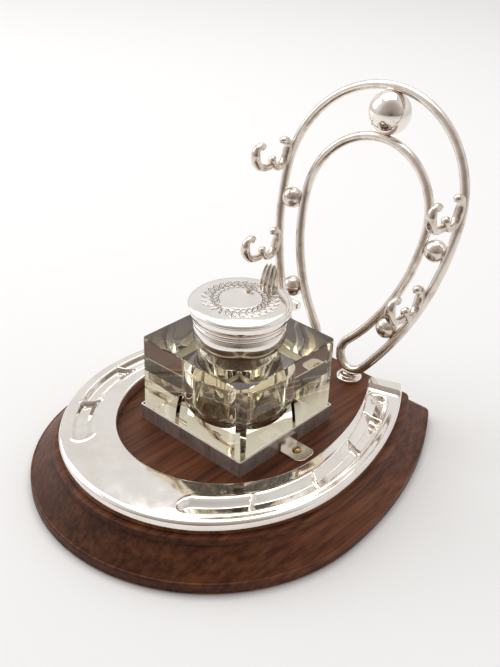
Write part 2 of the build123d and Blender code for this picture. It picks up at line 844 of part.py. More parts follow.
pieces = [
    base_felt.part,
    wood_plinth.part,
    horseshoe_plate.part,
    horseshoe_studs,
    horseshoe_washers,
    horseshoe_nuts,
    well_tray.part,
    *tray_lugs,
    tray_screws.part,
    glass_well.part,
    collar_cement.part,
    neck_collar.part,
    collar_knuckles.part,
    lid.part,
    lid_lining.part,
    lid_knuckle.part,
    hinge_pin.part,
    thumb_piece.part,
    rack_outer_wire,
    rack_inner_wire,
    crown_ball,
    *rack_balls,
    *pen_hooks,
    *rack_feet,
    rack_studs.part,
    rack_washers,
    rack_nuts,
]
for piece in pieces:
    export_step(piece, f"parts/{piece.label}.step")
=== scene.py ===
"""Horseshoe desk inkstand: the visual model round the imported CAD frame. Metres, +Z up."""
import json
import math

import bpy
import bmesh
import numpy as np
from mathutils import Matrix, Vector


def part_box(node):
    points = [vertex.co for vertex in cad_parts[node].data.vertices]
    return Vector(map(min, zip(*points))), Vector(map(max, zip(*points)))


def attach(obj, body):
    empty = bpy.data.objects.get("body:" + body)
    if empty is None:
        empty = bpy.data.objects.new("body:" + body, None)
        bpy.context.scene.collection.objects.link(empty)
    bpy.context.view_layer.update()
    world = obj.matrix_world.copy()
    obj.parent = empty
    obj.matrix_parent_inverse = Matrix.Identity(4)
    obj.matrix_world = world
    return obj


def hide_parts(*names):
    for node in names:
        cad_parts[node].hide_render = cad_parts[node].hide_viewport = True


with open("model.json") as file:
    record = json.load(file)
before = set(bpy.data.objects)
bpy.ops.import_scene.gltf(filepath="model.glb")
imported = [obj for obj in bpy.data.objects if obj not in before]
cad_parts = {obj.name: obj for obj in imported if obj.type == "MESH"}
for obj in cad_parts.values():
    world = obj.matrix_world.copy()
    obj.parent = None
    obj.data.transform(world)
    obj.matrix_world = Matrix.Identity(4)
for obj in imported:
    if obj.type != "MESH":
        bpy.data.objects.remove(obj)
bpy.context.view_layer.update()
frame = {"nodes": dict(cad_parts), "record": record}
scene = bpy.context.scene
MM = 0.001

# Places read from the frame
tray_low, tray_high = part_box("well_tray")
glass_low, glass_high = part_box("glass_well")
AXIS_Y = (tray_low.y + tray_high.y) / 2
WOOD_TOP = tray_low.z
WELL = Vector((0, AXIS_Y, WOOD_TOP))
SHOULDER = WOOD_TOP + 42.1 * MM         # the top of the square glass block, which the lid's heights start at


# ---------------------------------------------------------------- camera, floor and light

def aim_camera():
    """A camera that looks down at the stand from the front right, with a slight roll."""
    azimuth, elevation, roll = (math.radians(angle) for angle in (41.289, 30.641, 2.491))
    distance = 0.424219
    target = WELL + Vector((-6.378, 14.142, 35.725)) * MM
    back = Vector((
        math.sin(azimuth) * math.cos(elevation),
        -math.cos(azimuth) * math.cos(elevation),
        math.sin(elevation),
    ))
    level_right = Vector((math.cos(azimuth), math.sin(azimuth), 0))
    level_up = back.cross(level_right)
    right = level_right * math.cos(roll) + level_up * math.sin(roll)
    up = level_up * math.cos(roll) - level_right * math.sin(roll)
    data = bpy.data.cameras.new("camera")
    data.lens = 51.03
    data.clip_start = 0.01
    camera = bpy.data.objects.new("camera", data)
    turn = Matrix((right, up, back)).transposed().to_4x4()
    camera.matrix_world = Matrix.Translation(target + back * distance) @ turn
    scene.collection.objects.link(camera)
    scene.camera = camera


def area_light(name, place, size, energy):
    """A soft white rectangle of light, aimed at the top of the glass."""
    data = bpy.data.lights.new(name, "AREA")
    data.shape = "RECTANGLE"
    data.size, data.size_y = size
    data.energy = energy
    light = bpy.data.objects.new(name, data)
    light.location = place
    aim = WELL + Vector((0, 0, 40 * MM))
    light.rotation_euler = (Vector(place) - aim).to_track_quat("Z", "Y").to_euler()
    scene.collection.objects.link(light)


def set_stops(ramp, stops):
    """Give a colour ramp node its stops, each a place and a colour."""
    elements = ramp.color_ramp.elements
    elements.remove(elements[1])
    for index, (place, colour) in enumerate(stops):
        stop = elements[0] if index == 0 else elements.new(place)
        stop.position = place
        stop.color = (*colour, 1)


def light_studio():
    """A white tent that is open, and darker, on the side that the camera looks from."""
    area_light("top_softbox", (-0.35, 0.30, 1.1), (1.0, 1.0), 5.0)
    area_light("left_softbox", (-1.2, -0.35, 0.8), (0.8, 1.0), 5.0)
    world = bpy.data.worlds.new("studio")
    world.use_nodes = True
    scene.world = world
    nodes, links = world.node_tree.nodes, world.node_tree.links
    coords = nodes.new("ShaderNodeTexCoord")
    split = nodes.new("ShaderNodeSeparateXYZ")
    links.new(coords.outputs["Generated"], split.inputs[0])

    # how bright the tent is from the horizon up to straight overhead
    tent = ((0.0, 0.78), (0.08, 0.74), (0.35, 0.92), (0.70, 0.86), (1.0, 0.70))
    sky = nodes.new("ShaderNodeValToRGB")
    set_stops(sky, [(place, (grey, grey, grey)) for place, grey in tent])
    links.new(split.outputs["Z"], sky.inputs[0])

    # how the room shows through the opening, from its edge in to its middle
    opening = nodes.new("ShaderNodeVectorMath")
    opening.operation = "DOT_PRODUCT"
    opening.inputs[1].default_value = (0.62, -0.74, 0.12)
    links.new(coords.outputs["Generated"], opening.inputs[0])
    room = nodes.new("ShaderNodeValToRGB")
    set_stops(room, (
        (0.25, (1, 1, 1)),
        (0.55, (0.62, 0.55, 0.50)),
        (0.85, (0.42, 0.365, 0.33)),
        (0.955, (0.30, 0.26, 0.235)),
        (0.985, (0.07, 0.06, 0.055)),
    ))
    links.new(opening.outputs["Value"], room.inputs[0])

    shade = nodes.new("ShaderNodeMix")
    shade.data_type = "RGBA"
    shade.blend_type = "MULTIPLY"
    shade.inputs["Factor"].default_value = 1.0
    links.new(sky.outputs[0], shade.inputs["A"])
    links.new(room.outputs[0], shade.inputs["B"])
    links.new(shade.outputs["Result"], nodes["Background"].inputs["Color"])
    nodes["Background"].inputs["Strength"].default_value = 0.92


def lay_floor():
    """A wide sheet of pale matt paper."""
    mesh = bpy.data.meshes.new("floor")
    reach = 4.0
    corners = [(-reach, -reach, 0), (reach, -reach, 0), (reach, reach, 0), (-reach, reach, 0)]
    mesh.from_pydata(corners, [], [(0, 1, 2, 3)])
    floor = bpy.data.objects.new("floor", mesh)
    scene.collection.objects.link(floor)
    material = bpy.data.materials.new("floor_paper")
    material.use_nodes = True
    shader = material.node_tree.nodes["Principled BSDF"]
    shader.inputs["Base Color"].default_value = (0.93, 0.925, 0.92, 1)
    shader.inputs["Roughness"].default_value = 0.85
    shader.inputs["Specular IOR Level"].default_value = 0.1
    mesh.materials.append(material)


# ---------------------------------------------------------------- materials

class Paint:
    """A small helper that adds and joins shader nodes."""

    def __init__(self, name):
        self.material = bpy.data.materials.new(name)
        self.material.use_nodes = True
        self.nodes = self.material.node_tree.nodes
        self.links = self.material.node_tree.links
        self.shader = self.nodes["Principled BSDF"]

    def add(self, kind, **values):
        node = self.nodes.new(kind)
        for key, value in values.items():
            if key in node.inputs:
                node.inputs[key].default_value = value
            else:
                setattr(node, key, value)
        return node

    def join(self, source, target, socket=0):
        """Link an output socket, or a node's first output, to an input of the target."""
        output = source if isinstance(source, bpy.types.NodeSocket) else source.outputs[0]
        self.links.new(output, target.inputs[socket])

    def place(self, scale=(1, 1, 1), turn=(0, 0, 0)):
        """Object coordinates, scaled and then turned."""
        coords = self.add("ShaderNodeTexCoord")
        mapping = self.add("ShaderNodeMapping")
        mapping.inputs["Scale"].default_value = scale
        mapping.inputs["Rotation"].default_value = turn
        self.join(coords.outputs["Object"], mapping, "Vector")
        return mapping

    def facing(self, axis):
        """How far the surface faces along one axis of the object, -1 to 1."""
        coords = self.add("ShaderNodeTexCoord")
        split = self.add("ShaderNodeSeparateXYZ")
        self.join(coords.outputs["Normal"], split)
        return split.outputs[axis]

    def noise(self, place, scale, detail=2.0, rough=0.5):
        node = self.add("ShaderNodeTexNoise", Scale=scale, Detail=detail, Roughness=rough)
        self.join(place, node, "Vector")
        return node

    def ramp(self, source, stops):
        node = self.add("ShaderNodeValToRGB")
        set_stops(node, stops)
        self.join(source, node)
        return node

    def spread(self, source, low, high, start=0.0, end=1.0):
        """Map the source's range from start to end onto low to high."""
        node = self.add("ShaderNodeMapRange")
        node.inputs["From Min"].default_value = start
        node.inputs["From Max"].default_value = end
        node.inputs["To Min"].default_value = low
        node.inputs["To Max"].default_value = high
        self.join(source, node, "Value")
        return node

    def bump(self, source, distance, strength):
        node = self.add("ShaderNodeBump", Strength=strength, Distance=distance)
        self.join(source, node, "Height")
        self.join(node, self.shader, "Normal")

    def set(self, **values):
        """Set the shader's own sockets. An underscore stands for a space."""
        for key, value in values.items():
            self.shader.inputs[key.replace("_", " ")].default_value = value


def silver_plate():
    """Old silver plate: warm, nearly mirror bright, with faint clouds and fine wiping marks."""
    paint = Paint("silver_plate")
    place = paint.place()
    paint.set(Metallic=1.0)
    cloud = paint.noise(place, 48, 4, 0.6)
    tone = paint.ramp(cloud, (
        (0.30, (0.83, 0.765, 0.70)),
        (0.55, (0.915, 0.865, 0.81)),
        (0.80, (0.88, 0.825, 0.77)),
    ))
    paint.join(tone, paint.shader, "Base Color")
    smear = paint.noise(place, 120, 5, 0.65)
    rough = paint.spread(smear, 0.035, 0.12, 0.35, 0.72)
    paint.join(rough, paint.shader, "Roughness")
    hairs = paint.noise(paint.place((1, 9, 1), (0, 0, 0.6)), 700, 2)
    paint.bump(hairs, 0.000006, 0.3)
    return paint.material


def engraved_silver():
    """Silver plate whose cut lines, marked on the mesh as `cut`, hold dark tarnish."""
    paint = Paint("engraved_silver")
    place = paint.place()
    paint.set(Metallic=1.0)
    cloud = paint.noise(place, 90, 4, 0.6)
    tone = paint.ramp(cloud, ((0.30, (0.86, 0.80, 0.74)), (0.60, (0.93, 0.885, 0.84))))
    cuts = paint.add("ShaderNodeAttribute", attribute_name="cut")
    depth = paint.spread(cuts.outputs["Fac"], 0.0, 1.0, 0.14, 0.62)
    blend = paint.add("ShaderNodeMix", data_type="RGBA")
    blend.inputs["B"].default_value = (0.13, 0.11, 0.095, 1)
    paint.join(depth, blend, "Factor")
    paint.join(tone, blend, "A")
    paint.join(blend.outputs["Result"], paint.shader, "Base Color")
    paint.join(paint.spread(cuts.outputs["Fac"], 0.07, 0.38, 0.1, 0.8), paint.shader, "Roughness")
    return paint.material


def aged_silver():
    """Silver castings clouded with dark tarnish."""
    paint = Paint("aged_silver")
    paint.set(Metallic=1.0)
    place = paint.place()
    cloud = paint.noise(place, 300, 4, 0.6)
    tone = paint.ramp(cloud, (
        (0.28, (0.40, 0.33, 0.27)),
        (0.45, (0.70, 0.62, 0.54)),
        (0.70, (0.84, 0.78, 0.71)),
    ))
    paint.join(tone, paint.shader, "Base Color")
    paint.join(paint.spread(cloud, 0.22, 0.09, 0.3, 0.65), paint.shader, "Roughness")
    paint.bump(paint.noise(place, 700, 3), 0.00003, 0.5)
    return paint.material


def worn_silver():
    """The rack's wire and balls: silver rubbed to a soft sheen, with brown tarnish left in patches."""
    paint = Paint("worn_silver")
    paint.set(Metallic=1.0)
    cloud = paint.noise(paint.place(), 160, 4, 0.6)
    tone = paint.ramp(cloud, (
        (0.30, (0.58, 0.50, 0.43)),
        (0.48, (0.78, 0.71, 0.64)),
        (0.70, (0.86, 0.80, 0.745)),
    ))
    paint.join(tone, paint.shader, "Base Color")
    paint.join(paint.spread(cloud, 0.26, 0.15, 0.3, 0.7), paint.shader, "Roughness")
    paint.bump(paint.noise(paint.place(), 900, 3), 0.00001, 0.4)
    return paint.material


def dull_silver():
    """The tray's sheet silver: tarnished to a brownish grey, streaked, and given a painted highlight that
    makes every upward face bright.
    """
    paint = Paint("dull_silver")
    paint.set(Metallic=0.65)
    blotch = paint.noise(paint.place(), 130, 5, 0.65)
    streak = paint.noise(paint.place((1, 1, 0.15)), 420, 3, 0.6)
    mixed = paint.add("ShaderNodeMix", data_type="FLOAT")
    mixed.inputs["Factor"].default_value = 0.4
    paint.join(blotch, mixed, 2)
    paint.join(streak, mixed, 3)
    tone = paint.ramp(mixed.outputs[0], (
        (0.30, (0.24, 0.20, 0.18)),
        (0.44, (0.42, 0.37, 0.345)),
        (0.58, (0.56, 0.505, 0.48)),
        (0.72, (0.74, 0.69, 0.65)),
    ))
    # painted highlight: faces that look up are mixed towards bright silver, for the sky they reflect
    painted_top_highlight = paint.add("ShaderNodeMix", data_type="RGBA")
    painted_top_highlight.inputs["B"].default_value = (0.93, 0.89, 0.83, 1)
    paint.join(paint.spread(paint.facing("Z"), 0.0, 1.0, 0.6, 0.9), painted_top_highlight, "Factor")
    paint.join(tone, painted_top_highlight, "A")
    paint.join(painted_top_highlight.outputs["Result"], paint.shader, "Base Color")
    paint.join(paint.spread(mixed.outputs[0], 0.52, 0.34, 0.3, 0.7), paint.shader, "Roughness")
    paint.bump(blotch, 0.00006, 0.5)
    return paint.material


def walnut():
    """Oiled walnut: its grain runs front to back, and the faces that look front and back are painted darker,
    partly for their end grain and mostly as painted shade from the dim camera side.
    """
    paint = Paint("walnut")
    cut = (0, 0, math.radians(-38))     # only chooses which part of the noise shows
    figure = paint.noise(paint.place((9.0, 1.1, 14.0), cut), 14, 6, 0.62)
    figure.inputs["Distortion"].default_value = 0.6
    bands = paint.noise(paint.place((60.0, 3.0, 60.0), cut), 8, 5, 0.6)
    mix = paint.add("ShaderNodeMix", data_type="FLOAT")
    mix.inputs["Factor"].default_value = 0.6
    paint.join(figure, mix, 2)
    paint.join(bands, mix, 3)
    tone = paint.ramp(mix.outputs[0], (
        (0.30, (0.040, 0.011, 0.004)),
        (0.43, (0.078, 0.022, 0.008)),
        (0.52, (0.135, 0.042, 0.015)),
        (0.62, (0.195, 0.066, 0.025)),
        (0.75, (0.105, 0.031, 0.011)),
    ))
    # painted shade: faces that look front or back, towards the dim camera side, drop to about half their tone
    front_back_shade = paint.add("ShaderNodeMath", operation="ABSOLUTE")
    paint.join(paint.facing("Y"), front_back_shade)
    painted_shade_tone = paint.add("ShaderNodeVectorMath", operation="SCALE")
    paint.join(tone, painted_shade_tone)
    paint.join(paint.spread(front_back_shade, 1.0, 0.52, 0.15, 0.8), painted_shade_tone, "Scale")
    paint.join(painted_shade_tone, paint.shader, "Base Color")
    worn = paint.noise(paint.place(), 9, 3)
    paint.join(paint.spread(worn, 0.40, 0.55, 0.3, 0.7), paint.shader, "Roughness")
    paint.set(Specular_IOR_Level=0.2, Coat_Weight=0.03, Coat_Roughness=0.3)
    pores = paint.noise(paint.place((170.0, 7.0, 170.0), cut), 9, 3, 0.7)
    pits = paint.ramp(pores, ((0.30, (0, 0, 0)), (0.42, (1, 1, 1))))
    paint.bump(pits, 0.00008, 0.6)
    return paint.material


def felt():
    """Green baize with a short fuzzy nap."""
    paint = Paint("green_baize")
    fuzz = paint.noise(paint.place(), 1500, 4, 0.7)
    tone = paint.ramp(fuzz, ((0.3, (0.015, 0.060, 0.033)), (0.7, (0.045, 0.130, 0.075))))
    paint.join(tone, paint.shader, "Base Color")
    paint.set(Roughness=0.95, Sheen_Weight=0.4, Sheen_Roughness=0.5)
    paint.bump(fuzz, 0.0002, 0.7)
    return paint.material


def cut_glass():
    """Old lead glass with a straw tint, here and there a little dulled."""
    paint = Paint("cut_glass")
    paint.set(Base_Color=(0.80, 0.735, 0.565, 1), IOR=1.52, Transmission_Weight=1.0)
    wear = paint.noise(paint.place(), 60, 3)
    paint.join(paint.spread(wear, 0.0, 0.02, 0.45, 0.8), paint.shader, "Roughness")
    return paint.material


def bright_brass():
    """The screws' brass, browned in patches."""
    paint = Paint("bright_brass")
    cloud = paint.noise(paint.place(), 400, 3)
    tone = paint.ramp(cloud, ((0.3, (0.26, 0.17, 0.075)), (0.6, (0.58, 0.43, 0.22))))
    paint.join(tone, paint.shader, "Base Color")
    paint.set(Metallic=1.0)
    paint.join(paint.spread(cloud, 0.32, 0.14, 0.3, 0.7), paint.shader, "Roughness")
    return paint.material


def plain_steel():
    """Turned steel with fine rings, for the fixings under the plinth."""
    paint = Paint("plain_steel")
    rings = paint.noise(paint.place((1, 1, 12)), 300, 3)
    tone = paint.ramp(rings, ((0.3, (0.32, 0.32, 0.33)), (0.7, (0.55, 0.55, 0.56))))
    paint.join(tone, paint.shader, "Base Color")
    paint.set(Metallic=1.0)
    paint.join(paint.spread(rings, 0.45, 0.25), paint.shader, "Roughness")
    return paint.material


def set_plaster():
    """The grainy off-white plaster that holds the collar on the glass."""
    paint = Paint("set_plaster")
    grains = paint.noise(paint.place(), 900, 4, 0.7)
    tone = paint.ramp(grains, ((0.3, (0.66, 0.63, 0.56)), (0.7, (0.84, 0.82, 0.77))))
    paint.join(tone, paint.shader, "Base Color")
    paint.set(Roughness=0.9)
    paint.bump(grains, 0.0001, 0.6)
    return paint.material


# ---------------------------------------------------------------- mesh helpers

def new_piece(name, points, faces, material, body, node, smooth_angle):
    """A mesh piece that rides on a body and stands for one CAD node. Edges over smooth_angle stay crisp."""
    mesh = bpy.data.meshes.new(name)
    mesh.from_pydata([tuple(point) for point in points], [], faces)
    mesh.validate()
    mesh.materials.append(material)
    piece = bpy.data.objects.new(name, mesh)
    scene.collection.objects.link(piece)
    face_outwards(mesh)
    mesh.shade_smooth()
    mesh.set_sharp_from_angle(angle=math.radians(smooth_angle))
    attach(piece, body)
    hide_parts(node)
    return piece


def mark_cuts(piece, depths):
    """Store how deeply each point is engraved, 0 to 1, where the engraved finish reads it."""
    marks = piece.data.attributes.new("cut", "FLOAT", "POINT")
    values = np.zeros(len(piece.data.vertices), dtype=np.float32)
    values[:len(depths)] = np.clip(depths, 0, 1)
    marks.data.foreach_set("value", values)


def face_outwards(mesh):
    """Turn every face of a closed mesh outwards."""
    shell = bmesh.new()
    shell.from_mesh(mesh)
    bmesh.ops.recalc_face_normals(shell, faces=shell.faces)
    shell.to_mesh(mesh)
    shell.free()


def trace(start, heading, moves, step=0.35):
    """Points along straight runs and tangent arcs, about a step apart. A move is ("run", length) or
    ("arc", radius, turn), and heading and turns are in degrees."""
    points = [np.array(start, float)]
    angle = math.radians(heading)
    for move in moves:
        if move[0] == "run":
            count = max(1, round(move[1] / step))
            ahead = np.array((math.cos(angle), math.sin(angle)))
            for _ in range(count):
                points.append(points[-1] + ahead * move[1] / count)
        else:
            radius, turn = move[1], math.radians(move[2])
            count = max(2, round(radius * abs(turn) / step))
            side = math.copysign(1, turn)
            begin = points[-1]
            centre = begin + radius * side * np.array((-math.sin(angle), math.cos(angle)))
            for index in range(1, count + 1):
                now = angle + turn * index / count
                points.append(centre - radius * side * np.array((-math.sin(now), math.cos(now))))
            angle += turn
    return np.array(points)


def ring_faces(rings, sides):
    """Faces between rings of equally many points, each ring closed on itself."""
    faces = []
    for ring in range(rings - 1):
        for index in range(sides):
            after = (index + 1) % sides
            low, high = ring * sides, (ring + 1) * sides
            faces.append((low + index, low + after, high + after, high + index))
    return faces


def swept_bar(line, across, through, widths, depths, section, sides=28):
    """A bar along a flat line: `across` is its plane's normal in space, `through` maps a point of the line
    into space, and section bends the round ring into the bar's own section."""
    tangents = np.gradient(line, axis=0)
    tangents /= np.linalg.norm(tangents, axis=1)[:, None]
    normals = np.stack((-tangents[:, 1], tangents[:, 0]), axis=1)
    points = []
    for place, normal, width, depth in zip(line, normals, widths, depths):
        for side in range(sides):
            angle = 2 * math.pi * side / sides
            wide, deep = section(math.cos(angle), math.sin(angle))
            points.append(through(place + normal * deep * depth) + across * wide * width)
    faces = ring_faces(len(line), sides)
    faces.append(tuple(range(sides)))
    faces.append(tuple(range((len(line) - 1) * sides, len(line) * sides)))
    return points, faces


def arc_points(centre, radius, start, end, count):
    """Points on an arc in the (radius, height) plane, its angles in degrees."""
    angles = np.radians(np.linspace(start, end, count))
    return [(centre[0] + radius * math.cos(a), centre[1] + radius * math.sin(a)) for a in angles]


# ---------------------------------------------------------------- the horseshoe

# In millimetres, as in the CAD. An outline is its toe, its widest level, half its width there, its toe's and
# its side's radius, and its heel's level
SHOE_OUTER = (-83.0, -10.4, 67.6, 64.0, 138.0, 67.5)
SHOE_INNER = (-56.5, -5.3, 47.8, 45.0, 125.0, 61.0)
SHOE_THICKNESS = 6.0
UNDERCUT = 0.5                          # how far the foot of each side draws in
OUTER_ROUND, OUTER_ROUND_DROP = 2.2, 1.7
INNER_ROUND = 1.1

# Each branch has one nail groove. Its ends and its bars are fractions of the way from the toe to the heel
GROOVE_ENDS = (0.174, 0.926)
NAIL_BARS = (0.34, 0.515, 0.683, 0.826)
GROOVE_MIDDLE = 10.95                   # from the shoe's outer edge
GROOVE_HALF, GROOVE_DEPTH = 5.3, 2.15
CALKIN_LENGTH, CALKIN_HEIGHT = 8.6, 2.2
HEEL_ROUND = 1.2


def horseshoe_half(line, count):
    """Evenly spaced points on the right half of a horseshoe outline, from the toe to the heel, and how far
    along it each one is."""
    toe, wide, half, toe_radius, side_radius, heel = line
    depth = wide - toe
    shoulder = (half**2 + depth**2 - 2 * depth * toe_radius) / (2 * (half - toe_radius))
    toe_turn = math.degrees(math.atan2(shoulder - half, depth - toe_radius))
    side_turn = math.degrees(math.asin((heel - wide) / side_radius))
    moves = (("arc", toe_radius, toe_turn), ("arc", shoulder, 90 - toe_turn), ("arc", side_radius, side_turn))
    points = trace((0, toe), 0, moves)
    travelled = np.concatenate(([0], np.cumsum(np.linalg.norm(np.diff(points, axis=0), axis=1))))
    spots = np.linspace(0, travelled[-1], count)
    return np.stack([np.interp(spots, travelled, points[:, axis]) for axis in (0, 1)], axis=1), spots


def ease(value):
    """A smooth step from 0 to 1."""
    value = np.clip(value, 0, 1)
    return value * value * (3 - 2 * value)


def nail_groove(along, lateral, length):
    """The groove and its raised lip. Its outer wall is steep and its inner wall slopes."""
    first, last = (fraction * length for fraction in GROOVE_ENDS)
    before = first + GROOVE_HALF - along
    after = along - (last - 0.7 * GROOVE_HALF)
    reach = np.hypot(lateral, np.maximum(0, np.maximum(before, after)))
    steep, sloping, blend = 2.4, 5.2, 3.2       # how wide each wall is, and where one turns into the other
    wall = steep + (sloping - steep) * ease(lateral / blend + 0.5)
    lip_height, lip_place, lip_spread = 0.16, 0.3, 0.75
    lip = lip_height * np.exp(-(((reach - GROOVE_HALF - lip_place) / lip_spread) ** 2))
    return lip - GROOVE_DEPTH * ease((GROOVE_HALF - reach) / wall)


def nail_bar(along, lateral, place):
    """A rounded bar across the groove, lower in its middle and at its ends."""
    crown, dip, fall, half_length = 0.42, 0.5, 2.6, 1.35
    ends = 0.9 * np.clip(np.abs(lateral) - 4.9, 0, 2)
    crest = crown - dip * np.exp(-((lateral / 3.2) ** 2)) - ends
    across = np.abs(along - place) / half_length
    return crest - fall * ease(across / 1.5) * across ** 0.7


def shoe_relief(along, inset, length):
    """Height of the shoe's face above its plain level: groove, bars, calkin and rounded heel end."""
    lateral = inset - GROOVE_MIDDLE
    relief = nail_groove(along, lateral, length)
    for fraction in NAIL_BARS:
        bar = nail_bar(along, lateral, fraction * length)
        relief = relief + ease((bar - relief + 0.35) / 0.7) * (np.maximum(bar, relief) - relief)
    calkin = CALKIN_HEIGHT * ease((along - (length - CALKIN_LENGTH)) / 1.5)
    past = np.clip(along - (length - HEEL_ROUND), 0, HEEL_ROUND)
    heel_drop = HEEL_ROUND - np.sqrt(np.clip(HEEL_ROUND**2 - past**2, 0, None))
    return relief + calkin - heel_drop


def shoe_plate(material):
    """The horseshoe as one skin: stations from heel to heel, each a ring round the branch."""
    stations, columns = 410, 60
    outer, spots = horseshoe_half(SHOE_OUTER, stations)
    inner, _ = horseshoe_half(SHOE_INNER, stations)
    outer, inner = (np.concatenate((line[:0:-1] * (-1, 1), line)) for line in (outer, inner))
    along = np.concatenate((spots[:0:-1], spots))[:, None]
    across = inner - outer
    width = np.linalg.norm(across, axis=1)[:, None]
    across = across / width
    rows = len(along)

    # one ring: up the outer side, over its round, across the face, over the inner round and down
    turns = np.radians(np.linspace(0, 90, 8))
    outer_inset = OUTER_ROUND * (1 - np.cos(turns))
    outer_drop = OUTER_ROUND_DROP * (1 - np.sin(turns))
    inner_inset = INNER_ROUND * (1 - np.cos(turns[::-1]))
    inner_drop = INNER_ROUND * (1 - np.sin(turns[::-1]))
    face = np.linspace(0, 1, columns + 2)[None, 1:-1]
    foot_inset = UNDERCUT * np.tile((1, 0.3, 0), (rows, 1))
    foot_level = UNDERCUT * np.tile((0, 0.7, 1.6), (rows, 1))
    inset = np.concatenate((
        foot_inset,
        np.repeat(outer_inset[None, :], rows, axis=0),
        OUTER_ROUND + (width - OUTER_ROUND - INNER_ROUND) * face,
        width - inner_inset[None, :],
        width - foot_inset[:, ::-1],
    ), axis=1)
    drop = np.concatenate((outer_drop, np.zeros(columns), inner_drop))[None, :]

    # the relief fades out over the rounds, apart from the calkin, which is only a little lower there
    relief = shoe_relief(along, inset[:, 3:-3], spots[-1])
    side_relief = np.clip(relief - 1.2, 0, None)
    on_face = ease(1 - drop / OUTER_ROUND_DROP)
    level = SHOE_THICKNESS - drop + relief * on_face + side_relief * (1 - on_face)
    level = np.concatenate((foot_level, level, foot_level[:, ::-1]), axis=1)
    places = outer[:, None, :] + across[:, None, :] * inset[:, :, None]
    points = []
    for place_row, level_row in zip(places, level):
        points += [WELL + Vector((*place, height)) * MM for place, height in zip(place_row, level_row)]
    sides = places.shape[1]
    faces = ring_faces(rows, sides)
    faces.append(tuple(range(sides)))
    faces.append(tuple(range((rows - 1) * sides, rows * sides)))
    new_piece("horseshoe_skin", points, faces, material, "root", "horseshoe_plate", 40)


# ---------------------------------------------------------------- the glass well

def neck_and_pot():
    """The round profile as (radius, height): up the neck, over its lip and down inside the ink pot."""
    neck, mouth, pot = 15.6 * MM, 12.4 * MM, 16.4 * MM
    top, lip = glass_high.z, 0.4 * MM
    roof, spring = SHOULDER - 5.5 * MM, SHOULDER - 10.5 * MM
    floor, floor_round = glass_low.z + 6.8 * MM, 9.0 * MM
    mouth_round, roof_round = 1.8 * MM, 4.0 * MM
    slope = math.degrees(math.atan2(roof - spring, pot - mouth))
    return [
        (neck + 0.5 * MM, SHOULDER),
        (neck + 0.12 * MM, SHOULDER + 0.15 * MM),
        (neck, SHOULDER + 0.5 * MM),
        (neck, top - lip),
        (neck - lip, top),
        (mouth + lip, top),
        (mouth, top - lip),
        (mouth, roof + 1.6 * MM),
        *arc_points((mouth + mouth_round, roof + 0.9 * MM), mouth_round, 180, 270 - slope, 7),
        *arc_points((pot - roof_round, spring - 2.4 * MM), roof_round, 90 - slope, 0, 9),
        *arc_points((pot - floor_round, floor + floor_round), floor_round, 0, -90, 19),
    ]


def glass_block(material):
    """A square block with cut corners and fine bevels, a round neck and a pot-shaped cavity."""
    half = (glass_high.x - glass_low.x) / 2
    bottom = glass_low.z + 0.05 * MM        # just clear of what it stands on
    front_cut, side_cut = 3.2 * MM, 1.2 * MM
    bevel = 0.3 * MM
    sides = 128
    shell = bmesh.new()

    def outline(inset):
        reach = half - inset
        front, side = reach - front_cut - inset * 0.6, reach - side_cut - inset * 0.6
        return [
            (reach, -front), (reach, side), (side, reach), (-front, reach),
            (-reach, front), (-reach, -side), (-side, -reach), (front, -reach),
        ]

    def circle(radius):
        turns = [2 * math.pi * (index + 0.5) / sides for index in range(sides)]
        return [(radius * math.cos(turn), radius * math.sin(turn)) for turn in turns]

    def loop(places, height):
        return [shell.verts.new((x, AXIS_Y + y, height)) for x, y in places]

    def skin(low, high, smooth):
        for index in range(len(low)):
            after = (index + 1) % len(low)
            face = shell.faces.new((low[index], low[after], high[after], high[index]))
            face.smooth = smooth

    base = loop(outline(bevel), bottom)
    foot = loop(outline(0), bottom + bevel)
    brow = loop(outline(0), SHOULDER - bevel)
    top = loop(outline(bevel), SHOULDER)
    shell.faces.new(base)
    skin(base, foot, False)
    skin(foot, brow, False)
    skin(brow, top, False)
    rings = [loop(circle(radius), height) for radius, height in neck_and_pot()]
    for low, high in zip(rings, rings[1:]):
        skin(low, high, True)
    shell.faces.new(rings[-1])

    # the flat shoulder between the block's upper edge and the foot of the neck
    edges = []
    for corners in (top, rings[0]):
        edges += [shell.edges.get((corner, corners[index - 1])) for index, corner in enumerate(corners)]
    bmesh.ops.triangle_fill(shell, use_beauty=True, edges=edges)
    bmesh.ops.recalc_face_normals(shell, faces=shell.faces)
    mesh = bpy.data.meshes.new("cut_glass_well")
    shell.to_mesh(mesh)
    shell.free()
    mesh.materials.append(material)
    piece = bpy.data.objects.new("cut_glass_well", mesh)
    scene.collection.objects.link(piece)
    mesh.set_sharp_from_angle(angle=math.radians(30))
    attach(piece, "well")
    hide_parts("glass_well")


# ---------------------------------------------------------------- the lid

# All in millimetres. The edge is (radius, height) points: out over the rounded rim, down the bulging skirt,
# and back up inside
LID_WALL = 1.2
LID_EDGE = (
    (20.1, 18.72), (20.75, 18.6), (21.35, 18.4), (21.85, 18.12), (22.25, 17.78), (22.48, 17.4),
    (22.54, 17.05), (22.46, 16.78), (22.25, 16.62), (21.7, 16.5), (21.38, 16.42),
    (21.3, 16.3), (21.4, 16.05), (21.48, 15.6), (21.5, 15.1), (21.5, 14.5), (21.46, 13.95),
    (21.38, 13.5), (21.28, 13.15), (21.15, 12.98), (20.95, 12.95),
    (19.55, 12.95), (19.42, 13.02), (19.4, 13.2), (19.4, 15.0), (18.5, 15.0), (18.5, 17.5),
)


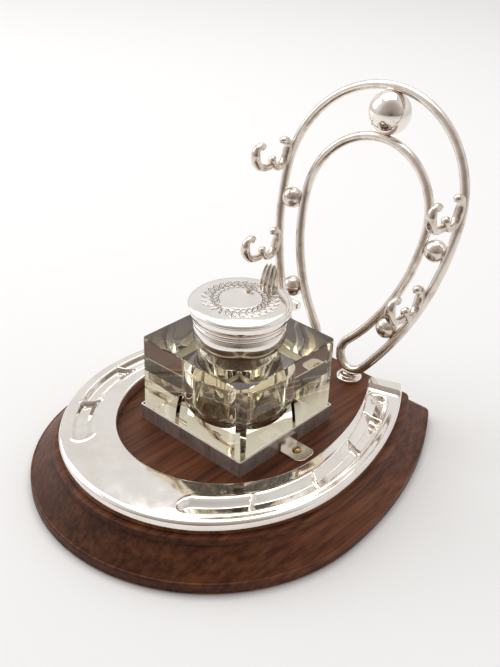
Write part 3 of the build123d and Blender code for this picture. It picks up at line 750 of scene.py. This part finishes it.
def leaf_groove(x, y, cx, cy, turn, length, width):
    """Depth, 0 to 1, of a leaf engraved at (cx, cy): a cut outline, a midrib and a faint hollow between."""
    line, rib_line = 0.17, 0.13
    dx, dy = x - cx, y - cy
    along = (dx * math.cos(turn) + dy * math.sin(turn)) / (length / 2)
    side = (-dx * math.sin(turn) + dy * math.cos(turn)) / (width / 2)
    inside = np.clip(1 - np.abs(along), 0, 1)
    edge = np.sqrt(inside) * np.sqrt(np.clip(1 - 0.35 * along, 0.2, 2))
    gap = (np.abs(side) - edge) * width / 2
    near = np.abs(along) < 1.0
    outline = np.exp(-(gap / line) ** 2) * near
    rib = np.exp(-(side * width / 2 / rib_line) ** 2) * np.clip(1 - np.abs(along) ** 4, 0, 1) * near
    hollow = np.clip(-gap / 0.6, 0, 1) * 0.10 * near
    return np.maximum(np.maximum(outline, rib * 0.8), hollow)


# The leaves at each joint of a laurel stem: lean, reach, length, width, how deeply they are cut
LAUREL_LEAVES = (
    (0.80, 2.6, 6.2, 2.3, 0.85),
    (-0.74, 2.4, 5.6, 2.1, 0.85),
    (0.04, 0.3, 4.4, 1.5, 0.4),
)


def ring_groove(distance, radius, line):
    """Depth, 0 to 1, of an engraved circle, from the distance to its middle."""
    return np.exp(-(np.abs(distance - radius) / line) ** 2)


def wreath_depth(x, y):
    """The bright-cut laurel wreath round the plain cartouche, 0 to 1, for points in millimetres."""
    depth = np.zeros_like(x)
    stem_radius, joints = 12.1, 12
    first_joint, joint_step = 15, 13.2      # degrees from the knot
    for side in (-1, 1):
        for joint in range(joints):
            turn = math.radians(-90 + side * (first_joint + joint * joint_step))
            heading = turn + side * math.pi / 2
            sx, sy = stem_radius * math.cos(turn), stem_radius * math.sin(turn)
            for lean, reach, length, width, strength in LAUREL_LEAVES:
                angle = heading - side * lean
                cx = sx + math.cos(angle) * reach
                cy = sy + math.sin(angle) * reach
                leaf = leaf_groove(x, y, cx, cy, angle, length, width)
                depth = np.maximum(depth, strength * leaf)
            for lean in (0.95, -0.95):
                bx = sx + math.cos(heading - side * lean) * 3.1
                by = sy + math.sin(heading - side * lean) * 3.1
                berry = ring_groove(np.hypot(x - bx, y - by), 0.34, 0.11)
                depth = np.maximum(depth, 0.9 * berry)
        bow = leaf_groove(x, y, side * 1.7, -11.4, side * 0.45, 3.6, 1.7)
        ribbon = leaf_groove(x, y, side * 1.5, -13.9, -side * 1.05, 3.8, 1.0)
        depth = np.maximum(depth, np.maximum(bow, ribbon))
    knot = ring_groove(np.hypot(x, (y + 11.9) * 1.3), 0.7, 0.14)
    return np.maximum(depth, knot)


def dome_height(radius):
    """Height of the plain dome above the lid's base, in millimetres."""
    edge, top, drop = 19.4, 19.8, 1.0
    ball = (edge**2 + drop**2) / (2 * drop)
    return top - ball + np.sqrt(ball**2 - radius**2)


def engraved_lid(material):
    """The lid's skin: an engraved dome, a rounded rim and a bulging skirt, closed round its hollow inside."""
    sides = 640
    cut_depth = 0.11

    # rings are close together where the wreath is, and wider apart on the plain cartouche and at the edge
    radii = np.concatenate((np.linspace(0.6, 6.4, 8), np.linspace(6.7, 17.3, 86), np.linspace(17.6, 19.4, 7)))
    turns = np.linspace(0, 2 * math.pi, sides, endpoint=False)
    grid_r, grid_t = np.meshgrid(radii, turns, indexing="ij")
    x, y = grid_r * np.cos(grid_t), grid_r * np.sin(grid_t)
    cuts = wreath_depth(x, y)
    z = dome_height(grid_r) - cut_depth * cuts
    points = [tuple(point) for point in np.stack((x, y, z), axis=2).reshape(-1, 3)]
    ceiling = [(radius, dome_height(radius) - LID_WALL) for radius in (17.5, 12.0, 6.0)]
    for radius, height in (*LID_EDGE, *ceiling):
        points += [(radius * math.cos(turn), radius * math.sin(turn), height) for turn in turns]
    rings = len(radii) + len(LID_EDGE) + len(ceiling)
    faces = ring_faces(rings, sides)
    outside_pole = len(points)
    inside_pole = outside_pole + 1
    points.append((0, 0, dome_height(0)))
    points.append((0, 0, dome_height(0) - LID_WALL))
    last_ring = (rings - 1) * sides
    for index in range(sides):
        after = (index + 1) % sides
        faces.append((outside_pole, index, after))
        faces.append((inside_pole, last_ring + index, last_ring + after))
    base = Vector((0, AXIS_Y, SHOULDER))
    places = [base + Vector(point) * MM for point in points]
    piece = new_piece("engraved_lid", places, faces, material, "lid", "lid", 50)
    mark_cuts(piece, cuts.reshape(-1))


def thumb_fan(material):
    """A fan of four ridges that leans back, with a scalloped top."""
    across_count, up_count = 97, 36
    ridges = 4
    root = -0.9                             # the fan's foot goes this far into the dome
    u = np.linspace(-1, 1, across_count)[None, :]
    v = np.linspace(0, 1, up_count)[:, None]
    ridge = 0.5 + 0.5 * np.cos(ridges * math.pi * (u - 0.25))

    # its outline from the front, wider at the foot and rounded at the top
    width = 4.9 - 0.9 * v + 0.25 * np.sin(math.pi * v) + 0.55 * np.exp(-((v / 0.09) ** 2))
    top = 10.2 - 1.7 * np.abs(u) ** 2.2 - 1.2 * (1 - ridge) ** 1.2
    x = u * width
    height = root + (top - root) * v

    # its front and back: leaning, bowed, fluted in front and drawn together at the tip
    lean = 0.10 * height + 0.009 * height**2
    bow = -0.9 * (1 - u**2) * (1 - 0.75 * v)
    foot_flare = 0.75 * np.exp(-((v / 0.10) ** 2))
    thick = (1.5 - 0.7 * v + foot_flare) * np.clip(1 - np.abs(u) ** 9, 0.25, 1)
    flute = 0.62 * (ridge - 0.5) * (0.45 + 0.55 * np.sin(math.pi * np.clip(v * 1.15, 0, 1)))
    front = lean + bow - thick - flute
    back = lean + bow * 0.7 + thick + 0.25 * (1 - ridge) * v
    middle = (front + back) / 2
    drawn = 0.75 * np.clip((v - 0.9) / 0.1, 0, 1) ** 2
    foot = Vector((0, AXIS_Y + 17.9 * MM, SHOULDER + 18.8 * MM))
    points = []
    for side in (front, back):
        grid = np.stack((x, side + (middle - side) * drawn, height), axis=2).reshape(-1, 3)
        points += [foot + Vector(point) * MM for point in grid]

    behind = across_count * up_count        # from a front point to the back point behind it
    faces = []
    for row in range(up_count - 1):
        for column in range(across_count - 1):
            a = row * across_count + column
            quad = (a, a + 1, a + 1 + across_count, a + across_count)
            faces.append(quad)
            faces.append(tuple(index + behind for index in reversed(quad)))
        for column in (0, across_count - 1):
            a = row * across_count + column
            faces.append((a, a + across_count, a + across_count + behind, a + behind))
    for row in (0, up_count - 1):
        for column in range(across_count - 1):
            a = row * across_count + column
            faces.append((a, a + 1, a + 1 + behind, a + behind))
    new_piece("fluted_thumb_fan", points, faces, material, "lid", "thumb_piece", 60)


# ---------------------------------------------------------------- the pen hooks

LEAN = math.radians(15.86)              # the rack's bows lean back from the upright
FORWARD = Vector((0, -math.cos(LEAN), math.sin(LEAN)))
UP_RACK = Vector((0, math.sin(LEAN), math.cos(LEAN)))


def flanked(across, deep):
    """A round section with a shallow groove along each flank."""
    groove = 0.20 * math.exp(-((deep / 0.22) ** 2))
    return across * (1 - groove), deep


def swell(count, points):
    """A smooth run of sizes through (fraction, size) points."""
    fractions, sizes = zip(*points)
    spots = np.linspace(0, 1, count)
    eased = []
    for spot in spots:
        index = max(i for i, fraction in enumerate(fractions[:-1]) if fraction <= spot)
        part = (spot - fractions[index]) / (fractions[index + 1] - fractions[index])
        part = part * part * (3 - 2 * part)
        eased.append(sizes[index] + (sizes[index + 1] - sizes[index]) * part)
    return np.array(eased)


# A hook is two bars, in millimetres: the rear scroll rises against the bow, and the larger front scroll
# springs from under its curl. Each has its line and, as (fraction, size), its half widths and half depths.
HOOK_BARS = (
    {
        "start": (8.8, 7.6),
        "heading": 100,
        "moves": (("arc", 2.5, 150), ("arc", 9.0, 20), ("run", 3.6), ("arc", 5.2, 145), ("arc", 1.3, 120)),
        "widths": (
            (0, 1.1), (0.05, 2.2), (0.15, 1.8), (0.40, 2.4), (0.70, 2.3), (0.86, 1.9), (0.94, 2.2), (1, 1.1),
        ),
        "depths": (
            (0, 1.1), (0.05, 2.0), (0.15, 1.6), (0.40, 1.9), (0.70, 1.9), (0.86, 1.6), (0.94, 1.9), (1, 1.0),
        ),
    },
    {
        "start": (12.0, -3.2),
        "heading": -25,
        "moves": (("arc", 16.0, 30), ("arc", 7.2, 85), ("arc", 3.0, 135)),
        "widths": ((0, 1.2), (0.12, 1.9), (0.40, 2.5), (0.62, 2.6), (0.85, 1.8), (0.95, 2.1), (1, 1.0)),
        "depths": ((0, 1.0), (0.12, 1.6), (0.40, 2.0), (0.62, 2.1), (0.85, 1.5), (0.95, 1.9), (1, 1.0)),
    },
)
HOOK_HALF = 2.0                         # from a bar's line to its skin, where it meets the CAD solid's box


def pen_hook(node, material):
    """A cast double scroll, set by the foremost and the lowest point of its CAD solid."""
    low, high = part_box(node)
    lines = [trace(bar["start"], bar["heading"], bar["moves"]) for bar in HOOK_BARS]
    places = np.concatenate(lines)
    foremost = min(places @ (FORWARD.y, UP_RACK.y)) - HOOK_HALF
    lowest = min(places @ (FORWARD.z, UP_RACK.z)) - HOOK_HALF
    origin = Vector(((low.x + high.x) / 2, low.y - foremost * MM, low.z - lowest * MM))

    def through(place):
        return origin + (FORWARD * float(place[0]) + UP_RACK * float(place[1])) * MM

    across = Vector((1, 0, 0)) * MM
    points, faces = [], []
    for line, bar in zip(lines, HOOK_BARS):
        wide = swell(len(line), bar["widths"])
        deep = swell(len(line), bar["depths"])
        bar_points, bar_faces = swept_bar(line, across, through, wide, deep, flanked)
        faces += [tuple(index + len(points) for index in face) for face in bar_faces]
        points += bar_points
    new_piece(f"scroll_{node}", points, faces, material, "root", node, 50)


RUBBED_NODES = ("tray_lug", "rack_outer", "rack_inner", "rack_ball_lower", "rack_ball_upper")


def finish_cad_nodes(finishes):
    """Give each CAD node the finish of its record slot, or one of the older silvers."""
    for entry in frame["record"]["subparts"]:
        name = entry["node"]
        finish = entry["material_slot"]
        if name.startswith("pen_hook"):
            finish = "aged"
        elif name == "well_tray":
            finish = "dull"
        elif name.startswith(RUBBED_NODES):
            finish = "worn"
        materials = frame["nodes"][name].data.materials
        materials.clear()
        materials.append(finishes[finish])


aim_camera()
light_studio()
lay_floor()
finishes = {
    "silver": silver_plate(),
    "aged": aged_silver(),
    "dull": dull_silver(),
    "worn": worn_silver(),
    "engraved": engraved_silver(),
    "walnut": walnut(),
    "felt": felt(),
    "glass": cut_glass(),
    "plaster": set_plaster(),
    "brass": bright_brass(),
    "steel": plain_steel(),
}
finish_cad_nodes(finishes)
shoe_plate(finishes["silver"])
glass_block(finishes["glass"])
engraved_lid(finishes["engraved"])
thumb_fan(finishes["aged"])
for level in ("lower", "upper"):
    for side in ("left", "right"):
        pen_hook(f"pen_hook_{level}_{side}", finishes["aged"])

scene.view_settings.view_transform = "Standard"

# light passes many faces on its way through the block and the pot inside it
scene.cycles.max_bounces = 16
scene.cycles.transmission_bounces = 12
scene.cycles.glossy_bounces = 8
